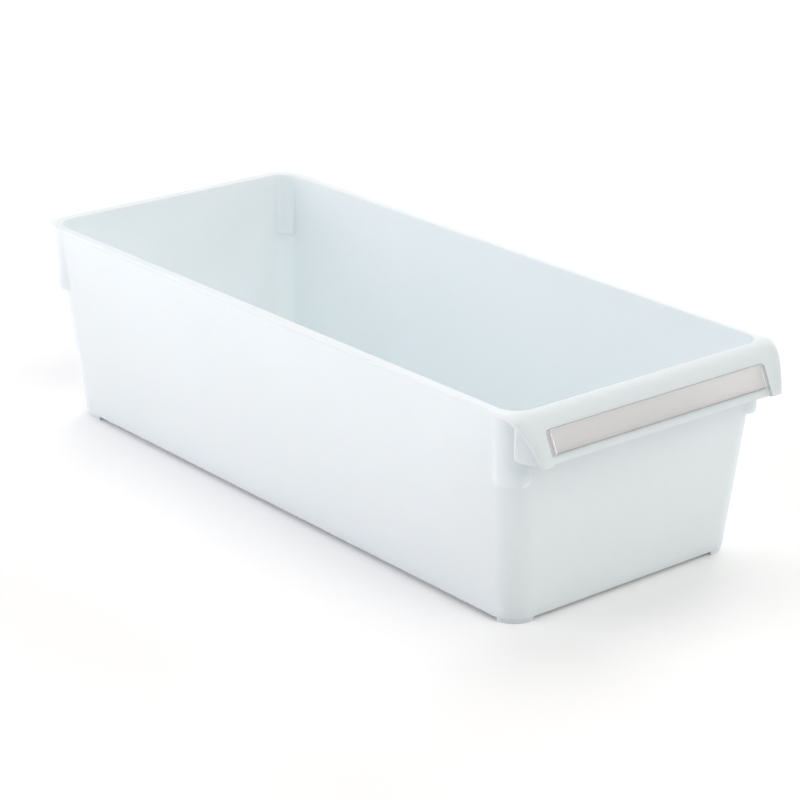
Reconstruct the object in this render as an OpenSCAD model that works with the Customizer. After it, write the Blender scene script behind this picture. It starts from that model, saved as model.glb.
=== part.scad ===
// Fridge storage bin: an open moulded tub with corner posts and a pull lip at the front,
// and a clear label window that slides down out of the pull lip, with a blank card behind it.
// Sizes are in millimetres. +Z is up and the pull lip faces -Y.
// The origin is on the shelf, under the middle of the whole bin.

/* [Tub] */
// Width over the rim
rim_w = 150; // [120:1:220]
// Length over the rim, without the part of the pull lip that stands out in front
rim_l = 346; // [260:1:460]
// Height from the shelf to the top of the rim
tub_h = 97.5; // [80:0.5:150]
// Thickness of the walls
wall = 2.8; // [1.6:0.1:4]
// Thickness of the floor
floor_t = 2.4; // [1.6:0.1:4]
// How far each long wall leans in from the rim down to the floor
side_lean = 8.1; // [3:0.1:14]
// How far each end wall leans in from the rim down to the floor
end_lean = 8.6; // [3:0.1:14]
// Corner radius of the tub at the floor
base_r = 11.8; // [9:0.1:20]
// Rounding between the walls and the underside
base_round = 0.6; // [0.4:0.1:4]
// Rounding between the walls and the floor, inside
inside_round = 4; // [1:0.1:5]

/* [Rim] */
// Thickness of the rim
rim_t = 1.9; // [1.2:0.1:4]
// How far the rim stands out from the walls
rim_lip = 2; // [0.8:0.1:4]
// Corner radius of the rim
rim_r = 13.8; // [11:0.1:24]

/* [Corner posts] */
// How far the posts reach below the top of the rim
post_drop = 32.2; // [22:0.1:50]
// Length of each post along a long wall, from the end of the rim
post_l = 14; // [12:0.5:40]
// Width of each post along an end wall, from the side of the rim
post_w = 11.5; // [10:0.5:30]
// Run of the posts' sloping sides, for each millimetre of their depth
post_slope = 1.5; // [0.8:0.1:3]
// Thickness of the posts' lower ends
post_floor = 1.4; // [0.8:0.1:4]

/* [Feet] */
// Height of the feet
foot_h = 2; // [1.2:0.1:8]
// Thickness of the foot ridges
foot_t = 2.4; // [1.5:0.1:5]
// How far the foot ridges run along the end walls
foot_run = 12.5; // [6:0.5:40]
// How far the front foot ridges run along the long walls
foot_front = 9; // [6:0.5:40]
// How far the back foot ridges run along the long walls
foot_back = 17.5; // [6:0.5:40]

/* [Pull lip] */
// Slope of the pull lip where it leaves the rim, in degrees below level
pull_start = 17.3; // [5:0.1:30]
// Slope of the pull lip's lower face, in degrees below level
pull_slope = 64.7; // [50:0.1:80]
// Radius of the shoulder between those two slopes
shoulder_r = 17.2; // [12:0.1:30]
// Length of the straight lower face
pull_face = 11.8; // [8:0.1:20]
// Thickness of the pull lip behind the label
pull_back = 1.4; // [0.8:0.1:3]
// Thickness of the pull lip's edge where it overhangs the webs
pull_edge = 1; // [0.8:0.1:2]
// Radius of the pull lip's ends, seen from above
pull_end_r = 26; // [22:0.5:60]
// How far behind the lip's edge its ends start to curve in
pull_end_run = 18.5; // [14:0.5:20]
// Thickness of the web under each end
web_t = 2; // [1.2:0.1:4]
// How far the pull lip overhangs the webs
web_set = 1.4; // [0.4:0.1:2]
// Length of the webs, back from the lip's edge
web_l = 12; // [8:0.1:13]
// How far the webs' lower edge climbs on its way to the rim
web_climb = 1.8; // [0:0.1:4]

/* [Label] */
// Width of the label window's face
label_w = 119.6; // [60:0.1:124]
// Height of the label window
label_h = 10.6; // [8:0.1:12]
// Height of the label window above the lip's edge, along the face
label_up = 4.3; // [1.5:0.1:6]
// Corner radius at the top of the label window
label_r = 2; // [0.5:0.1:4]
// Thickness of the label window
window_t = 1.4; // [1.2:0.1:2]
// How far the label window stands out from the face of the pull lip
window_proud = 0.3; // [0:0.05:0.5]
// Thickness of the tongues at the ends of the label window
tongue_t = 0.5; // [0.3:0.05:0.7]
// Length of each tongue beyond the window's face
tongue_l = 2.8; // [1.4:0.1:3]
// Thickness of the label card
card_t = 0.25; // [0.2:0.05:0.6]
// Margin of the label card inside the window's outline
card_margin = 0.4; // [0.2:0.1:2]
// Gap between each end of the window's face and the recess
recess_gap = 2.3; // [0.6:0.1:2.4]
// Clearance above the label window, and at the ends of its tongues
end_clear = 0.3; // [0.2:0.05:0.6]
// Clearance on each flat face that slides
slide_clear = 0.08; // [0.05:0.01:0.2]

/* [Hidden] */

// Points to a quarter circle, and to the shoulder and ends of the pull lip
corner_steps = 12;
arc_steps = 16;
// Reach of a cut past the surface that it opens
past = 1;

// The label stack decides how deep the recess is, and how thick the pull lip between its webs
recess_d = window_t - window_proud + slide_clear + card_t + slide_clear;
pull_t = recess_d + pull_back;
window_z = window_proud - window_t;
card_z = -recess_d + slide_clear;
tongue_w = label_w + 2 * tongue_l;
recess_w = label_w + 2 * recess_gap;
recess_top = label_up + label_h + end_clear;

// Side view of the pull lip, as [y, z] about the middle of the rim
pull_y = -rim_l / 2 + rim_lip + wall;
shoulder_c = [pull_y + shoulder_r * sin(pull_start), tub_h - shoulder_r * cos(pull_start)];
tip = on_shoulder(pull_slope, shoulder_r) - pull_face * [cos(pull_slope), sin(pull_slope)];
pull_reach = -rim_l / 2 - tip[0];

// The bin's middle lies half the reach of the pull lip in front of the rim's
tub_y = pull_reach / 2;

// Heights of the wall's foot and of the rim's underside
wall_z0 = foot_h;
wall_z1 = tub_h - rim_t;

function on_shoulder(slope, r) = shoulder_c + r * [-sin(slope), cos(slope)];

// Share of the wall's height, 0 at the foot and 1 under the rim
function rise(z) = (z - wall_z0) / (wall_z1 - wall_z0);

// One level of the wall as [z, width, length, corner radius], drawn in by a thickness
function level(z, inward) = [
    z,
    rim_w - 2 * (rim_lip + side_lean * (1 - rise(z)) + inward),
    rim_l - 2 * (rim_lip + end_lean * (1 - rise(z)) + inward),
    max(base_r + (rim_r - rim_lip - base_r) * rise(z) - inward, 0.5)
];

// Levels of a quarter-round foot of the wall
function rounded_foot(z, inward, radius) = [
    for (i = [0:arc_steps / 4])
        let (a = 90 * i / (arc_steps / 4))
        level(z + radius * (1 - cos(a)), inward + radius * (1 - sin(a)))
];

// Points of a rounded rectangle about the origin
function outline(w, l, r) = [
    for (q = [0:3])
        let (sx = q == 0 || q == 3 ? 1 : -1, sy = q < 2 ? 1 : -1)
        for (i = [0:corner_steps])
            let (a = 90 * (q + i / corner_steps))
            [sx * (w / 2 - r) + r * cos(a), sy * (l / 2 - r) + r * sin(a)]
];

// The rim's outline, drawn in by a distance
function rim_outline(inward) = outline(rim_w - 2 * inward, rim_l - 2 * inward, rim_r - inward);

// Outer line of the pull lip's side view, from the rim to the lip's edge
function pull_line() = concat(
    [for (i = [0:arc_steps])
        on_shoulder(pull_start + (pull_slope - pull_start) * i / arc_steps, shoulder_r)],
    [tip]
);

// Points along the pull lip's end on one side, drawn in, over a run back from the lip's edge
function pull_end(inward, run) =
    let (start = asin((pull_end_run - run) / pull_end_r), turn = asin(pull_end_run / pull_end_r))
    [for (i = [0:arc_steps])
        let (a = start + (turn - start) * i / arc_steps, r = pull_end_r - inward)
        [rim_w / 2 - pull_end_r + r * cos(a), tip[0] + pull_end_run - r * sin(a)]];

// Closed solid through a stack of levels
module stacked(levels) {
    n = 4 * (corner_steps + 1);
    points = [for (v = levels) for (p = outline(v[1], v[2], v[3])) [p[0], p[1], v[0]]];
    sides = [
        for (k = [0:len(levels) - 2])
            for (i = [0:n - 1])
                let (j = (i + 1) % n)
                [k * n + i, (k + 1) * n + i, (k + 1) * n + j, k * n + j]
    ];
    bottom = [for (i = [0:n - 1]) i];
    top = [for (i = [n - 1:-1:0]) (len(levels) - 1) * n + i];
    polyhedron(points, concat([bottom], sides, [top]));
}

// Side view pushed out across the whole width
module across() {
    rotate([90, 0, 90])
        linear_extrude(rim_w + 2 * past, center = true)
            children();
}

// The four corners, from a shape drawn at the back right
module each_corner() {
    for (x = [0, 1])
        for (y = [0, 1])
            mirror([x, 0, 0])
                mirror([0, y, 0])
                    children();
}

// Frame of the pull lip's lower face: x across, y up the slope from the edge, z outward
module on_pull_face() {
    translate([0, tip[0], tip[1]])
        rotate([pull_slope, 0, 0])
            children();
}

module tub_outside() {
    stacked(concat(rounded_foot(wall_z0, 0, base_round), [level(tub_h - rim_t / 2, 0)]));
}

module tub_inside() {
    floor_z = foot_h + floor_t;
    stacked(concat(rounded_foot(floor_z, wall, inside_round), [level(tub_h + past, wall)]));
}

// Plan of the corner post at the back right, drawn in by a distance, with sloping sides
module post_plan(inward) {
    x = rim_w / 2;
    y = rim_l / 2;
    // The sloping sides are as thick as the wall
    shift = (inward - rim_lip) * (sqrt(1 + post_slope * post_slope) - post_slope);
    x_end = x - post_w + shift;
    y_end = y - post_l + shift;
    depth = inward + side_lean + end_lean;
    run = post_slope * (depth - inward);
    intersection() {
        polygon(rim_outline(inward));
        polygon([
            [x, y_end], [x, y], [x_end, y],
            [x_end, y - inward], [x_end - run, y - depth],
            [x - depth, y_end - run], [x - inward, y_end]
        ]);
    }
}

module posts() {
    z = tub_h - post_drop;
    each_corner()
        translate([0, 0, z])
            linear_extrude(post_drop - rim_t / 2)
                post_plan(rim_lip);
}

module post_pockets() {
    z = tub_h - post_drop + post_floor;
    each_corner()
        translate([0, 0, z])
            linear_extrude(post_drop)
                post_plan(rim_lip + wall);
}

// Plan of the pull lip's sides and edge, drawn in by a distance
function pull_plan(inward) =
    let (ends = pull_end(inward, pull_end_run))
    concat(
        [for (p = ends) [-p[0], p[1]]],
        [for (i = [arc_steps:-1:0]) ends[i]]
    );

module rim() {
    translate([0, 0, wall_z1])
        linear_extrude(rim_t)
            intersection() {
                polygon(concat([for (p = rim_outline(0)) if (p[1] > 0) p], pull_plan(0)));
                translate([-rim_w / 2 - past, pull_y])
                    square([rim_w + 2 * past, rim_l]);
            }
}

// Skin of the pull lip from its thickness at the rim to that at its edge, with its sides drawn in
module pull_lip(rim_end, edge_end, inward) {
    section = concat(
        pull_line(),
        [[tip[0] + edge_end / sin(pull_slope), tip[1]]],
        [for (i = [arc_steps:-1:0])
            let (share = i / arc_steps, thickness = rim_end + (edge_end - rim_end) * share)
            on_shoulder(pull_start + (pull_slope - pull_start) * share, shoulder_r - thickness)]
    );
    intersection() {
        across() polygon(section);
        linear_extrude(tub_h + past) polygon(pull_plan(inward));
    }
}

// Webs under the two ends of the pull lip
module webs() {
    inner = pull_end(web_set + web_t, web_l);
    plan = concat(pull_end(web_set, web_l), [for (i = [arc_steps:-1:0]) inner[i]]);
    intersection() {
        across() polygon([[pull_y, tub_h], [tip[0], tub_h], tip, [pull_y, tip[1] + web_climb]]);
        for (x = [0, 1])
            mirror([x, 0, 0])
                linear_extrude(tub_h) polygon(plan);
    }
}

// Everything below the top of the rim and the outer face of the pull lip
module below_rim() {
    side_view = concat(
        [[rim_l / 2 + past, tub_h]],
        pull_line(),
        [[tip[0], -past], [rim_l / 2 + past, -past]]
    );
    across() polygon(side_view);
}

// L-shaped foot ridges under the corners
module feet() {
    base = level(wall_z0, base_round);
    x = base[1] / 2;
    y = base[2] / 2;
    linear_extrude(foot_h + floor_t / 2)
        intersection() {
            difference() {
                polygon(outline(base[1], base[2], base[3]));
                polygon(outline(base[1] - 2 * foot_t, base[2] - 2 * foot_t, base[3] - foot_t));
            }
            for (side = [0, 1])
                mirror([side, 0, 0]) {
                    translate([x - foot_run, y - foot_back])
                        square([foot_run, foot_back]);
                    translate([x - foot_run, -y])
                        square([foot_run, foot_front]);
                }
        }
}

// Plan of a label piece on the pull lip's face, with round top corners
module label_plan(w, y0, y1, r) {
    points = concat(
        [[-w / 2, y0], [w / 2, y0]],
        [for (i = [0:corner_steps])
            let (a = 90 * i / corner_steps)
            [w / 2 - r + r * cos(a), y1 - r + r * sin(a)]],
        [for (i = [0:corner_steps])
            let (a = 90 + 90 * i / corner_steps)
            [-w / 2 + r + r * cos(a), y1 - r + r * sin(a)]]
    );
    polygon(points);
}

// Recess for the label, open at the lip's edge, with grooves for the window's tongues
module label_recess() {
    below = -2 * pull_t;
    groove_h = slide_clear + card_t + slide_clear + tongue_t + slide_clear;
    on_pull_face() {
        translate([0, 0, -recess_d])
            linear_extrude(recess_d + past)
                label_plan(recess_w, below, recess_top, label_r + end_clear);
        translate([0, 0, -recess_d])
            linear_extrude(groove_h)
                label_plan(tongue_w + 2 * end_clear, below, recess_top, label_r + end_clear);
    }
}

module tub() {
    color("#e9eef2")
        translate([0, tub_y, 0])
            difference() {
                union() {
                    intersection() {
                        union() {
                            tub_outside();
                            posts();
                            webs();
                        }
                        below_rim();
                    }
                    rim();
                    pull_lip(rim_t, pull_edge, 0);
                    pull_lip(pull_t, pull_t, web_set);
                    feet();
                }
                tub_inside();
                post_pockets();
                label_recess();
            }
}

module label_window() {
    color("#dcdad9", 0.5)
        translate([0, tub_y, 0])
            on_pull_face()
                translate([0, 0, window_z]) {
                    linear_extrude(window_t)
                        label_plan(label_w, label_up, label_up + label_h, label_r);
                    linear_extrude(tongue_t)
                        label_plan(tongue_w, label_up, label_up + label_h, label_r);
                }
}

module label_card() {
    color("#d9d6d5")
        translate([0, tub_y, 0])
            on_pull_face()
                translate([0, 0, card_z])
                    linear_extrude(card_t)
                        label_plan(label_w - 2 * card_margin, label_up + card_margin,
                            label_up + label_h - card_margin, label_r);
}

tub();
label_window();
label_card();
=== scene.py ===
"""Dresses the packed fridge storage bin: its moulded tub, its label window and its blank card."""

import math
from collections import namedtuple

import bmesh
import bpy
from bpy.props import FloatProperty, FloatVectorProperty, PointerProperty
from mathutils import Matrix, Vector


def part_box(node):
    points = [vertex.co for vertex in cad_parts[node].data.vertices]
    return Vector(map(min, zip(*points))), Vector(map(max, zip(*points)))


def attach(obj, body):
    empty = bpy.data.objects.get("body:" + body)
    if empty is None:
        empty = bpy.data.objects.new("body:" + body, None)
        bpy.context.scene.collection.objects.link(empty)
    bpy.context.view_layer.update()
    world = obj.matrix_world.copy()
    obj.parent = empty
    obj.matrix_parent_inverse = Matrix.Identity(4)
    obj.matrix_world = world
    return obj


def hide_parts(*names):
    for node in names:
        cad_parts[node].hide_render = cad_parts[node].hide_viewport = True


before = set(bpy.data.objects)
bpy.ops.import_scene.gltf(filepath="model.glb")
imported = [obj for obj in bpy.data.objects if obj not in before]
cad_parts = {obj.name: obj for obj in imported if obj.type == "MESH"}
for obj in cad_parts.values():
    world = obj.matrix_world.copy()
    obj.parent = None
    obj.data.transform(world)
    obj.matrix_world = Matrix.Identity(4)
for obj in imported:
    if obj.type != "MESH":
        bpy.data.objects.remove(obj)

bl_info = {
    "name": "Fridge Storage Bin",
    "version": (1, 0, 0),
    "blender": (4, 5, 0),
    "location": "3D View > Sidebar > Bin",
    "description": "Builds the tub, label window, label card and studio of a fridge storage bin",
    "category": "Object",
}

MM = 0.001

# Points nearer than this become one, and edges shorter than the second length are taken out
WELD = 0.002 * MM
SHORTEST_EDGE = 0.001 * MM
# Faces that meet at more than this angle keep a crisp edge between them
CRISP_ANGLE = math.radians(40)
# A web's edges that are sharper than this angle get a rounding of this size
WEB_SHARP_ANGLE = math.radians(50)
WEB_ROUND = 0.4 * MM
# A noise texture keeps mostly between these two values
NOISE_LOW = 0.3
NOISE_HIGH = 0.7
# Refraction of the tub's plastic and of the window's
TUB_IOR = 1.49
WINDOW_IOR = 1.57
# Half the floor's width, in metres, and the camera's sensor width, in millimetres
FLOOR_HALF = 6
SENSOR_WIDTH = 36

# The packed model gives the overall sizes
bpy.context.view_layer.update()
TUB_LOW, TUB_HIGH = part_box("tub")


def length(name, description, millimetres):
    """A length whose default is given in millimetres."""
    return FloatProperty(
        name=name, description=description, default=millimetres * MM, unit="LENGTH", precision=5
    )


def angle(name, description, degrees):
    """An angle whose default is given in degrees."""
    return FloatProperty(
        name=name, description=description, default=math.radians(degrees), subtype="ANGLE"
    )


def colour(name, description, value):
    """A colour in linear light."""
    return FloatVectorProperty(
        name=name, description=description, default=value, size=3, min=0.0, max=1.0, subtype="COLOR"
    )


class TubSizes(bpy.types.PropertyGroup):
    """Sizes of the moulded tub."""

    rim_length: length("Rim length", "Length over the rim, without the pull lip", 346)
    wall: length("Wall", "Thickness of the walls", 2.8)
    floor: length("Floor", "Thickness of the floor", 2.4)
    side_lean: length("Side lean", "How far each long wall leans in towards the floor", 8.1)
    end_lean: length("End lean", "How far each end wall leans in towards the floor", 8.6)
    corner: length("Corner", "Corner radius of the walls", 11.8)
    base_round: length("Base rounding", "Rounding between the walls and the underside", 0.6)
    inside_round: length("Inside rounding", "Rounding between the walls and the floor", 4)
    rim: length("Rim", "Thickness of the rim", 1.9)
    lip: length("Rim lip", "How far the rim stands out from the walls", 2)
    rim_corner: length("Rim corner", "Corner radius of the rim", 13.8)
    edge_round: length("Edge rounding", "Rounding of the rim's edges", 0.5)
    post_drop: length("Post drop", "How far the corner posts reach below the rim", 32.2)
    post_length: length("Post length", "Length of a post along a long wall", 14)
    post_width: length("Post width", "Width of a post along an end wall", 11.5)
    post_run: FloatProperty(
        name="Post run", description="Run of a post's sloping side for its depth", default=1.5
    )
    post_floor: length("Post floor", "Thickness of a post's lower end", 1.4)
    post_round: length("Post rounding", "Rounding of a post's lower edge", 0.7)
    post_corner: length("Post corner", "Corner radius at the foot of a post", 3)
    foot_height: length("Foot height", "Height of the feet", 2)
    foot_width: length("Foot width", "Thickness of the foot ridges", 2.4)
    foot_run: length("Foot run", "How far the foot ridges run along the end walls", 12.5)
    foot_back: length("Back foot run", "How far the back ridges run along the long walls", 17.5)


class PullSizes(bpy.types.PropertyGroup):
    """Sizes of the pull lip at the front."""

    start_slope: angle("Start slope", "Slope of the pull lip where it leaves the rim", 17.3)
    face_slope: angle("Face slope", "Slope of the pull lip's lower face", 64.7)
    shoulder: length("Shoulder", "Radius between those two slopes", 17.2)
    face: length("Face", "Length of the straight lower face", 11.8)
    end_radius: length("End radius", "Radius of the pull lip's ends, seen from above", 26)
    end_run: length("End run", "How far behind the lip's edge its ends start to curve", 18.5)
    thickness: length("Thickness", "Thickness of the pull lip between its webs", 2.91)
    edge: length("Edge", "Thickness of the pull lip's edge where it overhangs the webs", 1)
    edge_round: length("End rounding", "Rounding under the pull lip's overhanging ends", 0.4)
    tip_round: length("Tip rounding", "Rounding of the pull lip's lower edge", 0.3)
    web_set: length("Web set", "How far the ends overhang the webs", 1.4)
    web: length("Web", "Thickness of the web under each end", 2)
    web_length: length("Web length", "Length of the webs, back from the lip's edge", 12)
    web_climb: length("Web climb", "How far the webs' lower edge climbs towards the rim", 1.8)
    web_corner: length("Web corner", "Corner radius at the back of each web", 1.6)


class LabelSizes(bpy.types.PropertyGroup):
    """Sizes of the label window and of its recess."""

    width: length("Width", "Width of the window's face", 119.6)
    height: length("Height", "Height of the window", 10.6)
    up: length("Up", "Height of the window above the lip's edge, along the face", 4.3)
    corner: length("Corner", "Corner radius at the top of the window", 2)
    thickness: length("Thickness", "Thickness of the window", 1.4)
    proud: length("Proud", "How far the window stands out from the lip's face", 0.3)
    crown: length("Crown", "Height of the rounded band along the window's top", 2.6)
    crown_drop: length("Crown drop", "How far that band falls away at its edge", 0.4)
    tongue: length("Tongue", "Thickness of the tongues at the window's ends", 0.5)
    tongue_length: length("Tongue length", "Length of each tongue beyond the face", 2.8)
    recess_depth: length("Recess depth", "Depth of the recess below the lip's face", 1.51)
    recess_gap: length("Recess gap", "Gap between the window's ends and the recess", 2.3)
    clearance: length("Clearance", "Clearance above the window", 0.1)


class BinColours(bpy.types.PropertyGroup):
    """Colours of the bin and its studio."""

    tub: colour("Tub", "Pale blue-white plastic", (0.74, 0.80, 0.825))
    window: colour("Window", "Clear plastic", (0.86, 0.855, 0.86))
    # Partly the whitish edge of clear plastic, partly a painted highlight: the window's ends are made
    # lighter where light falls on them
    window_end_painted_highlight: colour("Window end", "Ends of the clear plastic, which gather light", (0.97, 0.97, 0.97))
    # Painted shade: a dark copy of the window's edge colour, put on its lower edge where shade falls
    window_foot_painted_shade: colour("Window foot", "Lower edge of the clear plastic, in shade", (0.36, 0.36, 0.36))
    card: colour("Card", "Blank card, close to white", (0.93, 0.92, 0.92))
    stage: colour("Floor", "Pale studio floor", (0.97, 0.97, 0.97))


def spread(low, high, count):
    """Evenly spaced values from low to high, both included."""
    return [low + (high - low) * k / (count - 1) for k in range(count)]


def clamp(value, low=0.0, high=1.0):
    """The value, kept between two limits."""
    return max(low, min(high, value))


def ease(value):
    """Smooth step from 0 to 1."""
    value = clamp(value)
    return value * value * (3.0 - 2.0 * value)


def rounded(start, corner, end):
    """Two points of a curve that rounds off a corner between a start and an end."""
    points = []
    for t in (1 / 3, 2 / 3):
        points.append(start * (1 - t) ** 2 + corner * (2 * t * (1 - t)) + end * t * t)
    return points


# A column runs from the tub's floor up the inside, over the rim and down the outside.
# It stands on a long side, at a corner or on an end, in the quarter that sx and sy give.
Column = namedtuple("Column", "sx sy part at sunk foot")


class TubShape:
    """Works out the points of the tub's skin, with the middle of the rim as its origin."""

    # Steps round a corner, and those at which the lip's tip and the front feet start
    corner_steps = 32
    tip_step = 26
    front_foot_step = 4
    # Rows of points down the pull lip's face and under it
    rows_above_recess = 14
    rows_below_recess = 10
    rows_under_lip = 14
    # Places of columns on the straight sides, as shares of the part without feet
    side_shares = (0, 0.35, 0.65, 0.85, 0.95, 1)
    end_shares = (0, 0.2, 0.4, 0.6, 0.8, 0.93, 1)
    # Heights of rows, as shares of the way up the inside or down the outside
    rows_below_ledge = (0.06, 0.25, 0.45, 0.65, 0.85, 1)
    rows_above_ledge = (0, 0.15, 0.35, 0.55, 0.75, 0.93, 1)
    rows_above_foot = (0.03, 0.12, 0.3, 0.5, 0.7, 0.88)
    rows_below_foot = (0, 0.06, 0.25, 0.5, 0.75, 0.92)
    # How far above the recess the columns of the front end turn straight down
    knee_gap = 0.5 * MM
    # Limits that keep small radii, runs and heights from reaching zero
    least_corner = 0.5 * MM
    least_run = 0.05 * MM
    least_web = 0.1 * MM
    # Slack with which a column counts as being at the tip
    angle_slack = 1e-6
    # Length over which the underside of the lip runs into that of the rim
    rim_blend = 3 * MM
    # Width of the flat ring of faces round the floor and round the underside
    margin = 6 * MM
    # Rounding inside a post, as a share of the rounding outside
    hollow_share = 0.8
    # Share of a post's depth left at its foot, and the drop from there to the bare wall
    foot_share = 0.12
    foot_drop = 0.4 * MM
    # Bevel where the lip's lower edge turns into its underside
    turn_bevel = 0.2 * MM
    # The most of an edge's height that its upper and lower roundings take
    high_share = 0.4
    low_share = 0.58
    # Rounding of a foot ridge, and the share of it at the middle of the round
    ridge_round = 0.35 * MM
    ridge_bend = 0.3
    # How far the webs stop behind the lip's edge, and below the lip's thin edge
    web_stop = 1.3 * MM
    web_gap = 0.02 * MM

    def __init__(self, tub, pull, label):
        self.tub = tub
        self.pull = pull
        self.label = label
        self.half_x = (TUB_HIGH.x - TUB_LOW.x) / 2
        self.half_y = tub.rim_length / 2
        self.top = TUB_HIGH.z
        self.wall_low = tub.foot_height
        self.wall_high = self.top - tub.rim
        self.post_low = self.top - tub.post_drop
        self.centre = Vector((0, TUB_HIGH.y - self.half_y, 0))

        self.pull_y = -self.half_y + tub.lip + tub.wall
        self.shoulder_y = self.pull_y + pull.shoulder * math.sin(pull.start_slope)
        self.shoulder_z = self.top - pull.shoulder * math.cos(pull.start_slope)
        self.up_face = Vector((0, math.cos(pull.face_slope), math.sin(pull.face_slope)))
        self.out_face = Vector((0, -math.sin(pull.face_slope), math.cos(pull.face_slope)))
        shoulder = Vector((0, self.shoulder_y, self.shoulder_z))
        self.tip = shoulder + pull.shoulder * self.out_face - pull.face * self.up_face
        self.end_x = self.half_x - pull.end_radius
        self.end_y = self.tip.y + pull.end_run
        self.end_turn = math.asin(pull.end_run / pull.end_radius)

        self.recess_half = label.width / 2 + label.recess_gap
        self.recess_corner = label.corner + label.clearance
        self.recess_top = label.up + label.height + label.clearance
        self.recess_low = label.recess_depth / math.tan(pull.face_slope)

        # Columns of the front end fan out to the knee, and run straight down the face from there
        self.tip_x = self.end_x + pull.end_radius * math.cos(self.end_turn)
        self.face_end = (self.recess_half + self.tip_x) / 2
        self.knee_y = self.on_face(0, self.recess_top + self.knee_gap).y

        foot = self.level(self.wall_low, tub.base_round)
        self.side_run = foot[1] - tub.foot_back
        self.end_run = foot[0] - tub.foot_run
        self.inner_rim = self.level(self.top, tub.wall)

    def level(self, z, inward):
        """Half width, half length and corner radius of the wall at a height."""
        fall = 1 - (z - self.wall_low) / (self.wall_high - self.wall_low)
        return (
            self.half_x - self.tub.lip - self.tub.side_lean * fall - inward,
            self.half_y - self.tub.lip - self.tub.end_lean * fall - inward,
            max(self.tub.corner - inward, self.least_corner),
        )

    def on_outline(self, column, outline):
        """Point of a column on a rounded rectangle."""
        half_x, half_y, radius = outline
        core_x = half_x - radius
        core_y = half_y - radius
        if column.part == "side":
            x = half_x
            y = self.along(column.at, self.side_run, core_y)
        elif column.part == "end":
            x = self.along(column.at, self.end_run, core_x)
            y = half_y
        else:
            x = core_x + radius * math.cos(column.at)
            y = core_y + radius * math.sin(column.at)
        return Vector((column.sx * x, column.sy * y, 0))

    @staticmethod
    def along(at, run, core):
        """Place on a straight side: up to 1 it is fixed, and from 1 to 2 it reaches the corner."""
        return at * run if at <= 1 else run + (at - 1) * (core - run)

    def columns(self):
        """All columns, once round the tub."""
        turns = spread(0, math.pi / 2, self.corner_steps + 1)
        front = self.front_foot_step
        # Each place has its part, its share, whether it is in the label recess, and its feet
        no_foot = ()
        back_foot = (1,)
        both_feet = (-1, 1)
        sides = [("side", at, False, no_foot) for at in self.side_shares]
        sides += [("side", at, False, back_foot) for at in spread(1, 2, 16)[:-1]]
        corners = [("corner", a, False, back_foot) for a in turns[:front + 1]]
        corners += [("corner", a, False, both_feet) for a in turns[front:]]
        ends = [("end", at, True, no_foot) for at in self.end_shares]
        arc = self.recess_half - self.recess_corner
        places = [(x, True) for x in spread(self.end_run, arc, 6)]
        for turn in spread(0, math.pi / 2, 9)[1:]:
            places.append((arc + self.recess_corner * math.sin(turn), True))
        places += [(x, False) for x in spread(self.recess_half, self.face_end, 4)[:-1]]
        for x, sunk in places:
            at = 1 + (x - self.end_run) / (self.face_end - self.end_run)
            ends.append(("end", at, sunk, both_feet))

        quarter = sides + corners + ends[::-1]
        around = []
        for sx, sy in ((1, 1), (-1, 1), (-1, -1), (1, -1)):
            for part, at, sunk, feet in quarter if sx == sy else quarter[::-1]:
                around.append(Column(sx, sy, part, at, sunk and sy < 0, sy in feet))
        return around

    def post_depth(self, z):
        """How far a post stands out from the long walls and from the end walls at a height."""
        fall = 1 - (z - self.wall_low) / (self.wall_high - self.wall_low)
        return self.tub.side_lean * fall, self.tub.end_lean * fall

    def post_reach(self, wall, z, inward):
        """How far a point of the wall lies past the start of a post's slopes, and their runs."""
        depth_x, depth_y = self.post_depth(z)
        run_y = max(self.tub.post_run * depth_x, self.least_run)
        run_x = max(self.tub.post_run * depth_y, self.least_run)
        shift = inward * (math.hypot(1, self.tub.post_run) - self.tub.post_run)
        past_y = abs(wall.y) - (self.half_y - self.tub.post_length + shift - run_y)
        past_x = abs(wall.x) - (self.half_x - self.tub.post_width + shift - run_x)
        return past_x, past_y, run_x, run_y

    def post_share(self, wall, z, inward):
        """1 on a post, 0 on the bare wall, and between the two on a post's slopes."""
        past_x, past_y, run_x, run_y = self.post_reach(wall, z, inward)
        share = clamp(min(past_x / run_x, past_y / run_y))
        return (share + ease(share)) / 2

    def post_foot(self, column, z, inward):
        """Height of a post's lower end at a column, with round corners."""
        wall = self.on_outline(column, self.level(z, inward))
        past_x, past_y, _, _ = self.post_reach(wall, z, inward)
        radius = self.tub.post_corner
        gap = radius - clamp(min(past_x, past_y), 0, radius)
        return z + radius - math.sqrt(radius * radius - gap * gap)

    def skin(self, column, z, inward, share=0.0):
        """Point of the wall, moved out by a share of the post's depth where there is a post."""
        wall = self.on_outline(column, self.level(z, inward))
        if share:
            post = self.on_outline(column, self.level(self.wall_high, inward))
            wall = wall.lerp(post, share * self.post_share(wall, z, inward))
        wall.z = z
        return wall

    def lip_top(self, y):
        """Height of the rim's top and of the pull lip's outer face."""
        return self.top if y >= self.pull_y else self.lip_line(y, 0)

    def lip_line(self, y, depth):
        """Height of the line that runs at a depth inside the pull lip's outer face."""
        radius = self.pull.shoulder - depth
        slope = self.pull.face_slope
        ahead = self.shoulder_y - y
        if ahead <= 0:
            return self.shoulder_z + radius
        if ahead < radius * math.sin(slope):
            return self.shoulder_z + math.sqrt(radius * radius - ahead * ahead)
        foot = self.shoulder_z + radius * math.cos(slope)
        return foot - (ahead - radius * math.sin(slope)) * math.tan(slope)

    def lip_slope(self, y):
        """Slope of the rim and of the pull lip's outer face."""
        if y >= self.pull_y:
            return 0.0
        ahead = clamp((self.shoulder_y - y) / self.pull.shoulder)
        return min(math.asin(ahead), self.pull.face_slope)

    def under_round(self, point):
        """Rounding of the lower outer edge: more under the pull lip's ends than along the rim."""
        share = ease(self.lip_slope(point.y) / self.pull.face_slope)
        return self.tub.edge_round + (self.pull.edge_round - self.tub.edge_round) * share

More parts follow.
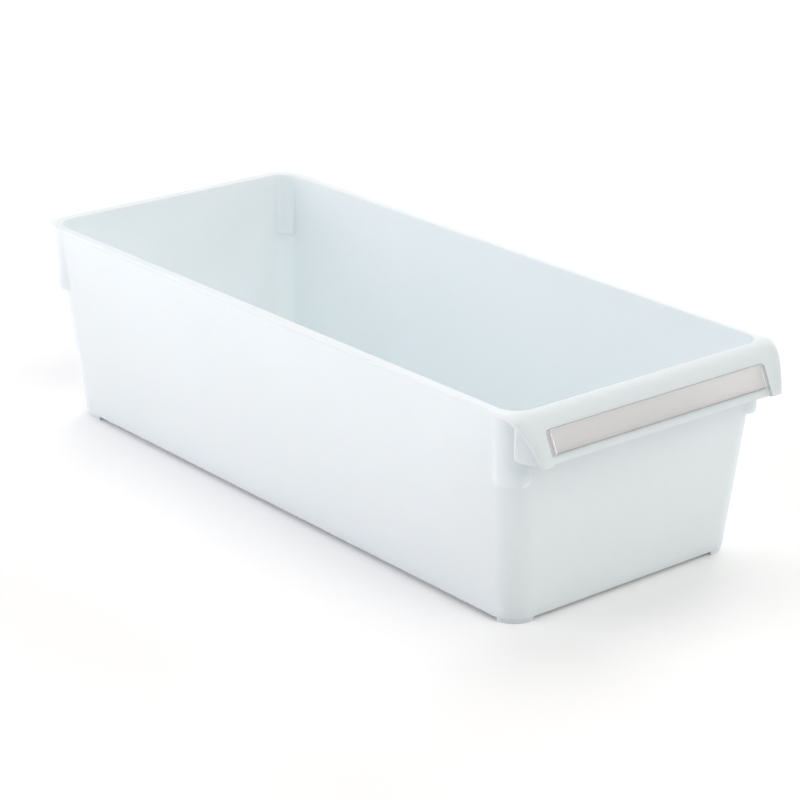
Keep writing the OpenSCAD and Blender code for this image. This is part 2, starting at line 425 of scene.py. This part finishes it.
    def lip_depth(self, point):
        """Thickness of the pull lip at a place: thin where its ends overhang the webs."""
        pull = self.pull
        x = abs(point.x) - self.end_x
        y = self.end_y - point.y
        if x <= 0 or y <= 0:
            return pull.thickness
        inside = pull.end_radius - math.hypot(x, y) - pull.web_set - pull.web
        edge = self.edge_depth(point.y)
        return edge + (pull.thickness - edge) * ease(inside / pull.web)

    def edge_depth(self, y):
        """Thickness of the pull lip where it overhangs the webs, from the rim's to that of its edge."""
        pull = self.pull
        fall = clamp((self.lip_slope(y) - pull.start_slope) / (pull.face_slope - pull.start_slope))
        return self.tub.rim + (pull.edge - self.tub.rim) * fall

    def lip_under(self, point):
        """Height of the underside of the rim and the pull lip."""
        line = self.lip_line(point.y, self.lip_depth(point))
        behind = point.y - self.shoulder_y
        if behind > 0:
            line += (self.wall_high - line) * clamp(behind / self.rim_blend)
        return max(min(line, self.wall_high), self.tip.z)

    def on_face(self, x, along):
        """Point of the pull lip's outer face at a distance along it from the lip's edge."""
        turn = max(0.0, along - self.pull.face) / self.pull.shoulder
        up = min(along, self.pull.face) + self.pull.shoulder * math.sin(turn)
        return self.on_plane(x, up, -self.pull.shoulder * (1 - math.cos(turn)))

    def on_plane(self, x, up, out):
        """Point by its height above the lip's edge, and its distance out from the straight face."""
        return self.tip + Vector((x, 0, 0)) + up * self.up_face + out * self.out_face

    def at_tip(self, column):
        """True where a column ends at the pull lip's straight lower edge."""
        if column.sy > 0 or column.part == "side":
            return False
        return column.part == "end" or column.at >= self.tip_angle()

    def tip_angle(self):
        """Corner angle of the column that ends at the tip of the pull lip's end."""
        return math.pi / 2 * self.tip_step / self.corner_steps - self.angle_slack

    def outer_edge(self, column):
        """Point of the outline of the rim and the pull lip, seen from above."""
        rim = (self.half_x, self.half_y, self.tub.rim_corner)
        if column.sy > 0:
            return self.on_outline(column, rim)
        inner = self.on_outline(column, self.inner_rim)
        if column.part == "end":
            x = self.along(column.at, self.end_run, self.face_end)
            return Vector((column.sx * x, self.tip.y, 0))
        if column.part == "side":
            turn = math.asin(clamp((self.end_y - inner.y) / self.pull.end_radius))
            return self.on_end(column.sx, turn, inner.y if inner.y > self.end_y else None)
        start = self.inner_rim[1] - self.inner_rim[2] + self.end_y
        start_turn = math.asin(max(0.0, start) / self.pull.end_radius)
        share = column.at / self.tip_angle()
        if share <= 1:
            return self.on_end(column.sx, start_turn + (self.end_turn - start_turn) * share)
        x = self.tip_x + (self.face_end - self.tip_x) * self.tip_share(column)
        return Vector((column.sx * x, self.tip.y, 0))

    def tip_share(self, column):
        """0 at the tip of the pull lip's end, and 1 where the straight end starts."""
        if column.part == "end":
            return 1.0
        return (column.at - self.tip_angle()) / (math.pi / 2 - self.tip_angle())

    def fan_x(self, column, inner, outer, y):
        """Place across at a depth, for a column that ends at the pull lip's lower edge."""
        straight = inner.x + (outer.x - inner.x) * (inner.y - self.knee_y) / (inner.y - outer.y)
        knee_x = straight + (outer.x - straight) * self.tip_share(column)
        if y > self.knee_y:
            return inner.x + (knee_x - inner.x) * (inner.y - y) / (inner.y - self.knee_y)
        return knee_x + (outer.x - knee_x) * (self.knee_y - y) / (self.knee_y - outer.y)

    def on_end(self, sx, turn, y=None):
        """Point of the curved end of the pull lip, or of the straight side behind it."""
        radius = self.pull.end_radius
        x = self.end_x + radius * math.cos(turn)
        return Vector((sx * x, self.end_y - radius * math.sin(turn) if y is None else y, 0))

    def recess_height(self, x):
        """Distance along the face from the lip's edge to the top of the label recess."""
        radius = self.recess_corner
        out = clamp(abs(x) - (self.recess_half - radius), 0, radius)
        return self.recess_top - radius + math.sqrt(radius * radius - out * out)

    def face_rows(self, x):
        """Distances along the pull lip's face, down to the recess's top edge and on to the tip."""
        slope = math.asin((self.shoulder_y + self.inner_rim[1]) / self.pull.shoulder)
        start = self.pull.face + self.pull.shoulder * (self.pull.face_slope - slope)
        middle = self.recess_height(x)
        above = spread(start - self.tub.edge_round, middle, self.rows_above_recess)
        below = spread(middle, self.pull.tip_round, self.rows_below_recess)
        return above, below

    def inside(self, column):
        """Points from the floor up the inside of the wall, past the hollow of a post."""
        tub = self.tub
        floor = tub.foot_height + tub.floor
        radius = tub.inside_round
        points = [self.skin(column, floor, tub.wall + radius + self.margin)]
        for a in spread(0, math.pi / 2, 7):
            z = floor + radius * (1 - math.cos(a))
            points.append(self.skin(column, z, tub.wall + radius * (1 - math.sin(a))))
        low = floor + radius
        ledge = self.post_foot(column, self.post_low + tub.post_floor, tub.wall)
        edge = self.hollow_share * tub.post_round
        share = edge / self.post_depth(ledge)[0]
        bend = 1 - math.sqrt(0.5)
        for k in self.rows_below_ledge:
            points.append(self.skin(column, low + k * (ledge - edge - low), tub.wall))
        points.append(self.skin(column, ledge - bend * edge, tub.wall, bend * share))
        points.append(self.skin(column, ledge, tub.wall, share))
        points.append(self.skin(column, ledge, tub.wall, 1 - share))
        points.append(self.skin(column, ledge + bend * edge, tub.wall, 1 - bend * share))
        high = self.lip_top(self.on_outline(column, self.inner_rim).y) - tub.edge_round
        for k in self.rows_above_ledge:
            z = ledge + edge + k * (high - ledge - edge)
            points.append(self.skin(column, z, tub.wall, 1))
        return points

    def over_rim(self, column):
        """Points from the inner edge of the rim out over the rim or down the pull lip's face."""
        inner = self.on_outline(column, self.inner_rim)
        outer = self.outer_edge(column)
        above, below = self.face_rows(outer.x if column.part == "end" else self.half_x)
        if column.part == "end" and column.sy < 0:
            points = []
            for s in above if column.sunk else above + below:
                point = self.on_face(0, s)
                point.x = self.fan_x(column, inner, outer, point.y)
                points.append(point)
            if not column.sunk:
                return points
            low = self.recess_low + self.pull.tip_round
            for s in below:
                share = (below[0] - s) / (below[0] - below[-1])
                up = below[0] + (low - below[0]) * share
                points.append(self.on_plane(outer.x, up, -self.label.recess_depth))
            return points
        ys = [self.on_face(0, s).y for s in above + below]
        ray = outer - inner
        first = self.tub.edge_round / ray.length
        last = 1 - first
        if self.at_tip(column):
            last = 1 - self.pull.tip_round * self.up_face.y / ray.length
        points = []
        for y in ys:
            share = (ys[0] - y) / (ys[0] - ys[-1])
            point = inner + ray * (first + (last - first) * share)
            if self.at_tip(column):
                point.x = self.fan_x(column, inner, outer, point.y)
            point.z = self.lip_top(point.y)
            points.append(point)
        return points

    def under_rim(self, column):
        """Points from the lower edge of the rim or the pull lip in to the wall."""
        start = self.outer_edge(column)
        if column.sunk:
            start.y = self.on_plane(0, self.recess_low, -self.label.recess_depth).y
        end = self.on_outline(column, self.level(self.wall_high, 0))
        ray = end - start
        rounding = self.pull.tip_round if self.at_tip(column) else self.under_round(start)
        first = rounding / ray.length
        turn = first
        turn_y = self.tip.y + self.lip_depth(start) / math.sin(self.pull.face_slope)
        if start.y < turn_y:
            turn = max(first, (turn_y - start.y) / ray.y)
        bevel = self.turn_bevel / ray.length
        shares = [first, max(first, turn - bevel)]
        shares += spread(turn + bevel, 1, self.rows_under_lip)
        points = []
        for share in shares:
            point = start + ray * share
            point.z = self.lip_under(point)
            points.append(point)
        return start, points

    def round_edge(self, column, last, start, under):
        """Points that round the outer edge, from the last point on top to the first one below."""
        corner = start.copy()
        if self.at_tip(column):
            # The tip has no flat edge, so the four points of one fall together
            corner.z = self.tip.z
            return rounded(last, corner, under) + [under.copy() for _ in range(4)]
        corner.z = self.lip_top(start.y)
        low = start.copy()
        low.z = self.lip_under(start)
        level = math.cos(self.lip_slope(start.y))
        height = corner.z - low.z
        high_round = min(self.tub.edge_round / level, self.high_share * height)
        low_round = min(self.under_round(start) / level, self.low_share * height)
        high_edge = corner - Vector((0, 0, high_round))
        low_edge = low + Vector((0, 0, low_round))
        points = rounded(last, corner, high_edge) + [high_edge, low_edge]
        return points + rounded(low_edge, low, under)

    def outside(self, column, start):
        """Points down the outside of the wall, past the foot of a post, to the base."""
        tub = self.tub
        foot = self.post_foot(column, self.post_low, 0)
        edge = tub.post_round
        share = edge / self.post_depth(foot)[0]
        points = []
        for k in self.rows_above_foot:
            points.append(self.skin(column, start + k * (foot + edge - start), 0, 1))
        for a in spread(0, math.pi / 2, 4):
            z = foot + edge * (1 - math.sin(a))
            points.append(self.skin(column, z, 0, 1 - share * (1 - math.cos(a))))
        points.append(self.skin(column, foot, 0, self.foot_share))
        below = foot - self.foot_drop
        base = self.wall_low + tub.base_round
        for k in self.rows_below_foot:
            points.append(self.skin(column, below + k * (base - below), 0))
        for a in spread(math.pi / 2, 0, 7):
            z = self.wall_low + tub.base_round * (1 - math.cos(a))
            points.append(self.skin(column, z, tub.base_round * (1 - math.sin(a))))
        return points

    def underneath(self, column):
        """Points across a foot ridge, or across the flat underside beside one."""
        height = self.tub.foot_height
        width = self.tub.foot_width
        edge = self.ridge_round
        bend = self.ridge_bend * edge
        rows = (
            (0, height - edge), (bend, height - bend), (edge, height),
            (width - edge, height), (width - bend, height - bend),
            (width, height - edge), (width, 0), (width + self.margin, 0),
        )
        points = []
        for inward, drop in rows:
            point = self.skin(column, self.wall_low, self.tub.base_round + inward)
            if column.foot:
                point.z -= drop
            points.append(point)
        return points

    def column_points(self, column):
        """All points of one column, from the floor inside to the underside."""
        inside = self.inside(column)
        over = self.over_rim(column)
        start, under = self.under_rim(column)
        edge = self.on_outline(column, self.inner_rim)
        edge.z = self.lip_top(edge.y)
        return (
            inside
            + rounded(inside[-1], edge, over[0])
            + over
            + self.round_edge(column, over[-1], start, under[0])
            + under
            + self.outside(column, under[-1].z)
            + self.underneath(column)
        )

    def web_rows(self, sx):
        """Points of the web under one end of the pull lip: for each place along it, two edges."""
        pull = self.pull
        outer = pull.end_radius - pull.web_set
        first = math.asin((pull.end_run - pull.web_length) / pull.end_radius)
        last = math.asin((pull.end_run - self.web_stop) / outer)
        arc = pull.web_corner / outer
        turns = [first + arc * (1 - math.cos(a)) for a in spread(0, math.pi / 2, 6)]
        turns += spread(first + arc, last, 14)[1:]
        rows = []
        for turn in turns:
            y = self.end_y - outer * math.sin(turn)
            gap = pull.web_corner - clamp(outer * (turn - first), 0, pull.web_corner)
            rise = pull.web_corner - math.sqrt(pull.web_corner ** 2 - gap * gap)
            climb = pull.web_climb * (y - self.tip.y) / (self.pull_y - self.tip.y)
            low = self.tip.z + climb + rise
            for radius in (outer, outer - pull.web):
                x = sx * (self.end_x + radius * math.cos(turn))
                depth = self.end_y - radius * math.sin(turn)
                high = self.lip_line(depth, self.edge_depth(depth)) - self.web_gap
                heights = spread(low, max(high, low + self.least_web), 8)
                rows.append([Vector((x, depth, z)) for z in heights])
        return rows


def add_grid(bm, lines, closed=False):
    """Adds faces between lines of points that have the same number of points."""
    made = [[bm.verts.new(p) for p in line] for line in lines]
    pairs = list(zip(made, made[1:]))
    if closed:
        pairs.append((made[-1], made[0]))
    for a, b in pairs:
        for k in range(len(a) - 1):
            bm.faces.new((a[k], a[k + 1], b[k + 1], b[k]))
    return made


def add_web(bm, shape, sx):
    """Adds the closed plate of one web, with its free edges rounded."""
    rows = shape.web_rows(sx)
    web = bmesh.new()
    add_grid(web, rows[0::2])
    add_grid(web, rows[1::2])
    for k in (0, -1):
        add_grid(web, [[row[k] for row in rows[0::2]], [row[k] for row in rows[1::2]]])
    for pair in (rows[:2], rows[-2:]):
        add_grid(web, pair)
    bmesh.ops.remove_doubles(web, verts=web.verts, dist=WELD)
    bmesh.ops.recalc_face_normals(web, faces=web.faces)
    sharp = [e for e in web.edges if e.is_manifold and e.calc_face_angle() > WEB_SHARP_ANGLE]
    bmesh.ops.bevel(
        web, geom=sharp, offset=WEB_ROUND, segments=3, profile=0.5, affect="EDGES", clamp_overlap=True
    )
    mesh = bpy.data.meshes.new("web")
    web.to_mesh(mesh)
    web.free()
    bm.from_mesh(mesh)
    bpy.data.meshes.remove(mesh)


def finish_mesh(bm, name):
    """Turns a bmesh into an object with soft shading and crisp edges."""
    mesh = bpy.data.meshes.new(name)
    bm.to_mesh(mesh)
    bm.free()
    mesh.polygons.foreach_set("use_smooth", [True] * len(mesh.polygons))
    mesh.set_sharp_from_angle(angle=CRISP_ANGLE)
    piece = bpy.data.objects.new(name, mesh)
    bpy.context.scene.collection.objects.link(piece)
    return piece


def new_material(name):
    """A material with an empty Principled shader, its node tree and that shader."""
    material = bpy.data.materials.new(name)
    material.use_nodes = True
    tree = material.node_tree
    return material, tree, tree.nodes["Principled BSDF"]


def add_noise(tree, scale, detail=3.0, roughness=0.5):
    """A noise texture in the object's own coordinates."""
    place = tree.nodes.new("ShaderNodeTexCoord")
    noise = tree.nodes.new("ShaderNodeTexNoise")
    noise.inputs["Scale"].default_value = scale
    noise.inputs["Detail"].default_value = detail
    noise.inputs["Roughness"].default_value = roughness
    tree.links.new(place.outputs["Object"], noise.inputs["Vector"])
    return noise.outputs["Fac"]


def add_tint(tree, source, shader, low, high):
    """Lets a texture move the base colour between two near tints."""
    ramp = tree.nodes.new("ShaderNodeValToRGB")
    ramp.color_ramp.elements[0].position = NOISE_LOW
    ramp.color_ramp.elements[0].color = (*low, 1)
    ramp.color_ramp.elements[1].position = NOISE_HIGH
    ramp.color_ramp.elements[1].color = (*high, 1)
    tree.links.new(source, ramp.inputs["Fac"])
    tree.links.new(ramp.outputs["Color"], shader.inputs["Base Color"])


def add_gloss(tree, source, shader, low, high):
    """Lets a texture move the roughness between two values."""
    span = tree.nodes.new("ShaderNodeMapRange")
    span.inputs["From Min"].default_value = NOISE_LOW
    span.inputs["From Max"].default_value = NOISE_HIGH
    span.inputs["To Min"].default_value = low
    span.inputs["To Max"].default_value = high
    tree.links.new(source, span.inputs["Value"])
    tree.links.new(span.outputs["Result"], shader.inputs["Roughness"])


def add_bump(tree, shader, layers):
    """Stacks bump layers, each a texture with its height in metres."""
    normal = None
    for source, height in layers:
        bump = tree.nodes.new("ShaderNodeBump")
        bump.inputs["Strength"].default_value = 1.0
        bump.inputs["Distance"].default_value = height
        tree.links.new(source, bump.inputs["Height"])
        if normal:
            tree.links.new(normal, bump.inputs["Normal"])
        normal = bump.outputs["Normal"]
    tree.links.new(normal, shader.inputs["Normal"])


def add_milkiness(tree, shader, low, high, spans):
    """Lets the plastic look milky in the walls, and less so past the thin ends of some spans."""
    place = tree.nodes.new("ShaderNodeTexCoord")
    axes = tree.nodes.new("ShaderNodeSeparateXYZ")
    tree.links.new(place.outputs["Object"], axes.inputs["Vector"])
    weight = None
    for axis, thin, thick in spans:
        span = tree.nodes.new("ShaderNodeMapRange")
        span.inputs["From Min"].default_value = thin
        span.inputs["From Max"].default_value = thick
        span.inputs["To Min"].default_value = low
        span.inputs["To Max"].default_value = high
        tree.links.new(axes.outputs[axis], span.inputs["Value"])
        result = span.outputs["Result"]
        if weight:
            least = tree.nodes.new("ShaderNodeMath")
            least.operation = "MINIMUM"
            tree.links.new(weight, least.inputs[0])
            tree.links.new(result, least.inputs[1])
            result = least.outputs["Value"]
        weight = result
    tree.links.new(weight, shader.inputs["Subsurface Weight"])


def scaled(value, factor):
    """A colour made lighter or darker."""
    return tuple(clamp(c * factor) for c in value)


def bin_plastic(colours, shape):
    """Pale moulded plastic: milky and satin, with a faint sink and grain."""
    material, tree, shader = new_material("bin_plastic")
    cloud = add_noise(tree, scale=14)
    add_tint(tree, cloud, shader, scaled(colours.tub, 0.99), scaled(colours.tub, 1.01))
    patches = add_noise(tree, scale=60, detail=4)
    add_gloss(tree, patches, shader, low=0.46, high=0.54)
    sink = add_noise(tree, scale=30, detail=1)
    grain = add_noise(tree, scale=2600)
    add_bump(tree, shader, ((sink, 0.05 * MM), (grain, 0.004 * MM)))
    shader.inputs["IOR"].default_value = TUB_IOR
    shader.inputs["Specular IOR Level"].default_value = 0.1
    # Deep scattering leaves the thin pull lip and the foot of the walls too dark, so they get less of it
    front = shape.centre.y - shape.half_y
    lip_span = ("Y", front - 2 * MM, front + 3 * MM)
    foot_span = ("Z", shape.wall_low, shape.wall_low + 12 * MM)
    add_milkiness(tree, shader, low=0.15, high=0.7, spans=(lip_span, foot_span))
    shader.inputs["Subsurface Radius"].default_value = (0.8, 1.0, 1.1)
    shader.inputs["Subsurface Scale"].default_value = 15 * MM
    return material


def clear_plastic(colours):
    """Polished clear plastic with fine handling marks."""
    material, tree, shader = new_material("clear_plastic")
    shader.inputs["Base Color"].default_value = (*colours.window, 1)
    shader.inputs["Alpha"].default_value = 0.35
    shader.inputs["IOR"].default_value = WINDOW_IOR
    marks = add_noise(tree, scale=300, detail=6)
    add_gloss(tree, marks, shader, low=0.06, high=0.1)
    wave = add_noise(tree, scale=40, detail=1)
    add_bump(tree, shader, ((wave, 0.03 * MM),))
    return material


def clear_edge_painted_light(name, tint):
    """Edge of the clear plastic, with a painted highlight or painted shade in its tint."""
    material, tree, shader = new_material(name)
    shader.inputs["IOR"].default_value = WINDOW_IOR
    cloud = add_noise(tree, scale=500)
    add_tint(tree, cloud, shader, scaled(tint, 0.98), scaled(tint, 1.02))
    marks = add_noise(tree, scale=900)
    add_gloss(tree, marks, shader, low=0.2, high=0.32)
    return material


def label_paper(colours):
    """Uncoated card with a fine fibre."""
    material, tree, shader = new_material("label_paper")
    fibre = add_noise(tree, scale=3500, detail=6, roughness=0.7)
    add_tint(tree, fibre, shader, scaled(colours.card, 0.96), scaled(colours.card, 1.04))
    add_gloss(tree, fibre, shader, low=0.75, high=0.9)
    add_bump(tree, shader, ((fibre, 0.01 * MM),))
    return material


def bin_shape(scene):
    """The tub's shape at the sizes in the scene."""
    return TubShape(scene.bin_tub, scene.bin_pull, scene.bin_label)


class BIN_OT_tub(bpy.types.Operator):
    """Builds the moulded tub with its rim, posts, feet and pull lip"""

    bl_idname = "bin.build_tub"
    bl_label = "Build Tub"

    def execute(self, context):
        shape = bin_shape(context.scene)
        bm = bmesh.new()
        columns = [shape.column_points(column) for column in shape.columns()]
        made = add_grid(bm, columns, closed=True)
        bm.faces.new([line[0] for line in made])
        bm.faces.new([line[-1] for line in made])
        bmesh.ops.remove_doubles(bm, verts=bm.verts, dist=WELD)
        bmesh.ops.dissolve_degenerate(bm, edges=bm.edges, dist=SHORTEST_EDGE)
        bmesh.ops.recalc_face_normals(bm, faces=bm.faces)
        for sx in (-1, 1):
            add_web(bm, shape, sx)
        bmesh.ops.translate(bm, verts=bm.verts, vec=shape.centre)
        tub = finish_mesh(bm, "moulded_tub")
        tub.data.materials.append(bin_plastic(context.scene.bin_colours, shape))
        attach(tub, "bin")
        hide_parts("tub")
        return {"FINISHED"}


class BIN_OT_window(bpy.types.Operator):
    """Builds the clear label window with its tongues"""

    bl_idname = "bin.build_window"
    bl_label = "Build Label Window"

    # Distances of the face's rings from its outline, in millimetres
    ring_insets = (3, 2.6, 2.1, 1.6, 1.1, 0.7, 0.4, 0.2, 0.06, 0)
    # Rounding of the face's edges, and radius of the outline's lower corners
    edge_round = 0.5 * MM
    low_corner = 0.4 * MM
    # Limits that keep the outline's radii from reaching zero
    least_corner = 0.05 * MM
    least_low_corner = 0.02 * MM
    # A face that leans this far towards an end or the lower edge is part of it
    edge_lean = 0.35

    def execute(self, context):
        shape = bin_shape(context.scene)
        bm = bmesh.new()
        rings = self.rings(shape, context.scene.bin_label)
        made = add_grid(bm, [list(line) for line in zip(*rings)], closed=True)
        bm.faces.new([line[0] for line in made])
        bm.faces.new([line[-1] for line in made])
        bmesh.ops.recalc_face_normals(bm, faces=bm.faces)
        # Faces turned towards an end get the painted highlight, and faces turned down the face get the
        # painted shade
        for face in bm.faces:
            face.material_index = self.finish(shape, face.normal)
        bmesh.ops.translate(bm, verts=bm.verts, vec=shape.centre)
        window = finish_mesh(bm, "clear_window")
        colours = context.scene.bin_colours
        window.data.materials.append(clear_plastic(colours))
        window.data.materials.append(clear_edge_painted_light("clear_plastic_end_painted_highlight", colours.window_end_painted_highlight))
        window.data.materials.append(clear_edge_painted_light("clear_plastic_foot_painted_shade", colours.window_foot_painted_shade))
        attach(window, "window")
        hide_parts("label_window")
        return {"FINISHED"}

    def finish(self, shape, normal):
        """Material number of a face: the clear plastic, its ends with a painted highlight, or its lower
        edge with painted shade.
        """
        if abs(normal.x) > self.edge_lean:
            return 1
        return 2 if normal.dot(shape.up_face) < -self.edge_lean else 0

    def rings(self, shape, label):
        """Outlines of the window from its face back to its tongues."""
        face = label.proud
        back = face - label.thickness
        tongue = back + label.tongue
        rings = []
        for inset in self.ring_insets:
            outline = self.outline(label, inset * MM, 0)
            rings.append([self.place(shape, label, p, face) for p in outline])
        outline = self.outline(label, 0, 0)
        rings.append([shape.on_plane(*p, tongue) for p in outline])
        outline = self.outline(label, 0, label.tongue_length)
        rings.append([shape.on_plane(*p, tongue) for p in outline])
        rings.append([shape.on_plane(*p, back) for p in outline])
        return rings

    def outline(self, label, inset, longer):
        """Points of the window's outline, as places across and up the face."""
        half = label.width / 2 + longer - inset
        low = label.up + inset
        high = label.up + label.height - inset
        radius = max(label.corner - inset, self.least_corner)
        foot = max(self.low_corner - inset, self.least_low_corner)
        points = []
        for sx, turns in ((1, spread(0, 1, 9)), (-1, spread(1, 0, 9))):
            for turn in turns:
                a = turn * math.pi / 2
                points.append((
                    sx * (half - radius + radius * math.cos(a)), high - radius + radius * math.sin(a)
                ))
        for sx, turns in ((-1, spread(0, 1, 4)), (1, spread(1, 0, 4))):
            for turn in turns:
                a = turn * math.pi / 2
                points.append((sx * (half - foot + foot * math.cos(a)), low + foot - foot * math.sin(a)))
        return points

    def place(self, shape, label, point, face):
        """Point of the window's face, which rounds over at its edges and most along its top."""
        x, up = point
        edge = self.edge_round
        sides = min(label.width / 2 - abs(x), up - label.up)
        near_side = 1 - clamp(sides / edge)
        near_top = 1 - clamp((label.up + label.height - up) / label.crown)
        drop = max(
            edge * (1 - math.sqrt(1 - near_side * near_side)),
            label.crown_drop * (1 - math.sqrt(1 - near_top * near_top)),
        )
        return shape.on_plane(x, up, face - drop)


class BIN_OT_card(bpy.types.Operator):
    """Gives the blank card behind the window its paper"""

    bl_idname = "bin.build_card"
    bl_label = "Finish Label Card"

    def execute(self, context):
        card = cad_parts["label_card"]
        card.data.materials.clear()
        card.data.materials.append(label_paper(context.scene.bin_colours))
        return {"FINISHED"}


class StudioSettings(bpy.types.PropertyGroup):
    """Place of the camera and strength of the light."""

    lens: FloatProperty(name="Lens", description="Focal length in millimetres", default=116.63)
    azimuth: angle("Azimuth", "Turn of the camera round the bin", -39.248)
    elevation: angle("Elevation", "Height of the camera above the horizon", 20.669)
    camera: FloatVectorProperty(
        name="Camera", description="Place of the camera", default=(-0.705083, -0.869229, 0.461173),
        size=3, subtype="TRANSLATION", unit="LENGTH",
    )
    light: FloatProperty(name="Light", description="Strength of all lamps together", default=1.0)
    glow: FloatProperty(name="Glow", description="White that the floor shows of its own", default=0.02)


# A soft round lamp: its bearing from the front (left is negative), height and width in degrees,
# its distance in metres, and its strength at the bin in watts per square metre
Lamp = namedtuple("Lamp", "name bearing height width distance strength colour")
LAMPS = (
    Lamp("back_lamp", -150, 15, 40, 8, 0.6, (1.0, 0.96, 0.97)),
    Lamp("back_left_lamp", -120, 15, 40, 1.3, 1.07, (0.99, 0.96, 1.0)),
    Lamp("left_high_lamp", -90, 45, 50, 8, 0.59, (0.96, 0.94, 1.0)),
    Lamp("right_lamp", 65, 15, 40, 8, 0.95, (0.95, 0.97, 1.0)),
    Lamp("front_high_lamp", 0, 45, 50, 8, 1.4, (1.0, 0.98, 0.92)),
    Lamp("back_right_lamp", 120, 15, 40, 8, 1.21, (1.0, 0.99, 1.0)),
    Lamp("back_high_lamp", 150, 65, 50, 8, 1.13, (1.0, 0.99, 0.98)),
)


class BIN_OT_stage(bpy.types.Operator):
    """Builds the pale floor, the soft lights and the camera"""

    bl_idname = "bin.build_stage"
    bl_label = "Build Stage"

    def execute(self, context):
        studio = context.scene.bin_studio
        context.scene.view_settings.view_transform = "Standard"
        self.add_floor(context, studio)
        self.add_world(context)
        for lamp in LAMPS:
            self.add_lamp(context, lamp, studio.light)
        self.add_camera(context, studio)
        return {"FINISHED"}

    def add_floor(self, context, studio):
        """A wide pale floor that is white to the camera where no shadow falls."""
        bm = bmesh.new()
        bmesh.ops.create_grid(bm, x_segments=1, y_segments=1, size=FLOOR_HALF)
        floor = finish_mesh(bm, "floor")
        material, tree, shader = new_material("studio_floor")
        shader.inputs["Base Color"].default_value = (*context.scene.bin_colours.stage, 1)
        shader.inputs["Roughness"].default_value = 0.9
        shader.inputs["Specular IOR Level"].default_value = 0.1
        light_path = tree.nodes.new("ShaderNodeLightPath")
        tree.links.new(light_path.outputs["Is Camera Ray"], shader.inputs["Emission Strength"])
        shader.inputs["Emission Color"].default_value = (studio.glow, studio.glow, studio.glow, 1)
        floor.data.materials.append(material)

    def add_world(self, context):
        """A dark sky, so that only the lamps give light."""
        world = bpy.data.worlds.new("studio_sky")
        world.use_nodes = True
        sky = world.node_tree.nodes["Background"]
        sky.inputs["Strength"].default_value = 0.0
        context.scene.world = world

    def add_lamp(self, context, lamp, factor):
        """A soft round lamp that lights the bin from one side."""
        half = math.radians(lamp.width) / 2
        data = bpy.data.lights.new(lamp.name, "AREA")
        data.shape = "DISK"
        data.size = 2 * lamp.distance * math.tan(half)
        data.energy = lamp.strength * factor * math.pi * (lamp.distance / math.cos(half)) ** 2
        data.color = lamp.colour
        light = bpy.data.objects.new(lamp.name, data)
        bearing = math.radians(lamp.bearing)
        height = math.radians(lamp.height)
        level = math.cos(height)
        toward = Vector((math.sin(bearing) * level, -math.cos(bearing) * level, math.sin(height)))
        light.location = lamp.distance * toward
        light.rotation_euler = (-toward).to_track_quat("-Z", "Y").to_euler()
        context.scene.collection.objects.link(light)

    def add_camera(self, context, studio):
        """The camera at the photograph's viewing angle."""
        data = bpy.data.cameras.new("camera")
        data.lens = studio.lens
        data.sensor_width = SENSOR_WIDTH
        camera = bpy.data.objects.new("camera", data)
        camera.location = studio.camera
        level = math.cos(studio.elevation)
        look = Vector((
            -math.sin(studio.azimuth) * level,
            math.cos(studio.azimuth) * level,
            -math.sin(studio.elevation),
        ))
        camera.rotation_euler = look.to_track_quat("-Z", "Y").to_euler()
        context.scene.collection.objects.link(camera)
        context.scene.camera = camera


class BIN_PT_panel(bpy.types.Panel):
    """Sizes, colours and steps of the bin"""

    bl_label = "Fridge Storage Bin"
    bl_idname = "BIN_PT_panel"
    bl_space_type = "VIEW_3D"
    bl_region_type = "UI"
    bl_category = "Bin"

    def draw(self, context):
        for operator in OPERATORS:
            self.layout.operator(operator.bl_idname)
        for name, group in GROUPS.items():
            box = self.layout.box()
            box.label(text=group.__doc__)
            for key in group.__annotations__:
                box.prop(getattr(context.scene, name), key)


GROUPS = {
    "bin_tub": TubSizes,
    "bin_pull": PullSizes,
    "bin_label": LabelSizes,
    "bin_colours": BinColours,
    "bin_studio": StudioSettings,
}
OPERATORS = (BIN_OT_tub, BIN_OT_window, BIN_OT_card, BIN_OT_stage)


def register():
    """Adds the property groups, operators and panel."""
    for name, group in GROUPS.items():
        bpy.utils.register_class(group)
        setattr(bpy.types.Scene, name, PointerProperty(type=group))
    for cls in OPERATORS + (BIN_PT_panel,):
        bpy.utils.register_class(cls)


def unregister():
    """Takes away what register added."""
    for cls in (BIN_PT_panel,) + OPERATORS[::-1]:
        bpy.utils.unregister_class(cls)
    for name, group in GROUPS.items():
        delattr(bpy.types.Scene, name)
        bpy.utils.unregister_class(group)


def main():
    """Builds the bin and its studio."""
    register()
    bpy.ops.bin.build_tub()
    bpy.ops.bin.build_window()
    bpy.ops.bin.build_card()
    bpy.ops.bin.build_stage()


if __name__ == "__main__":
    main()
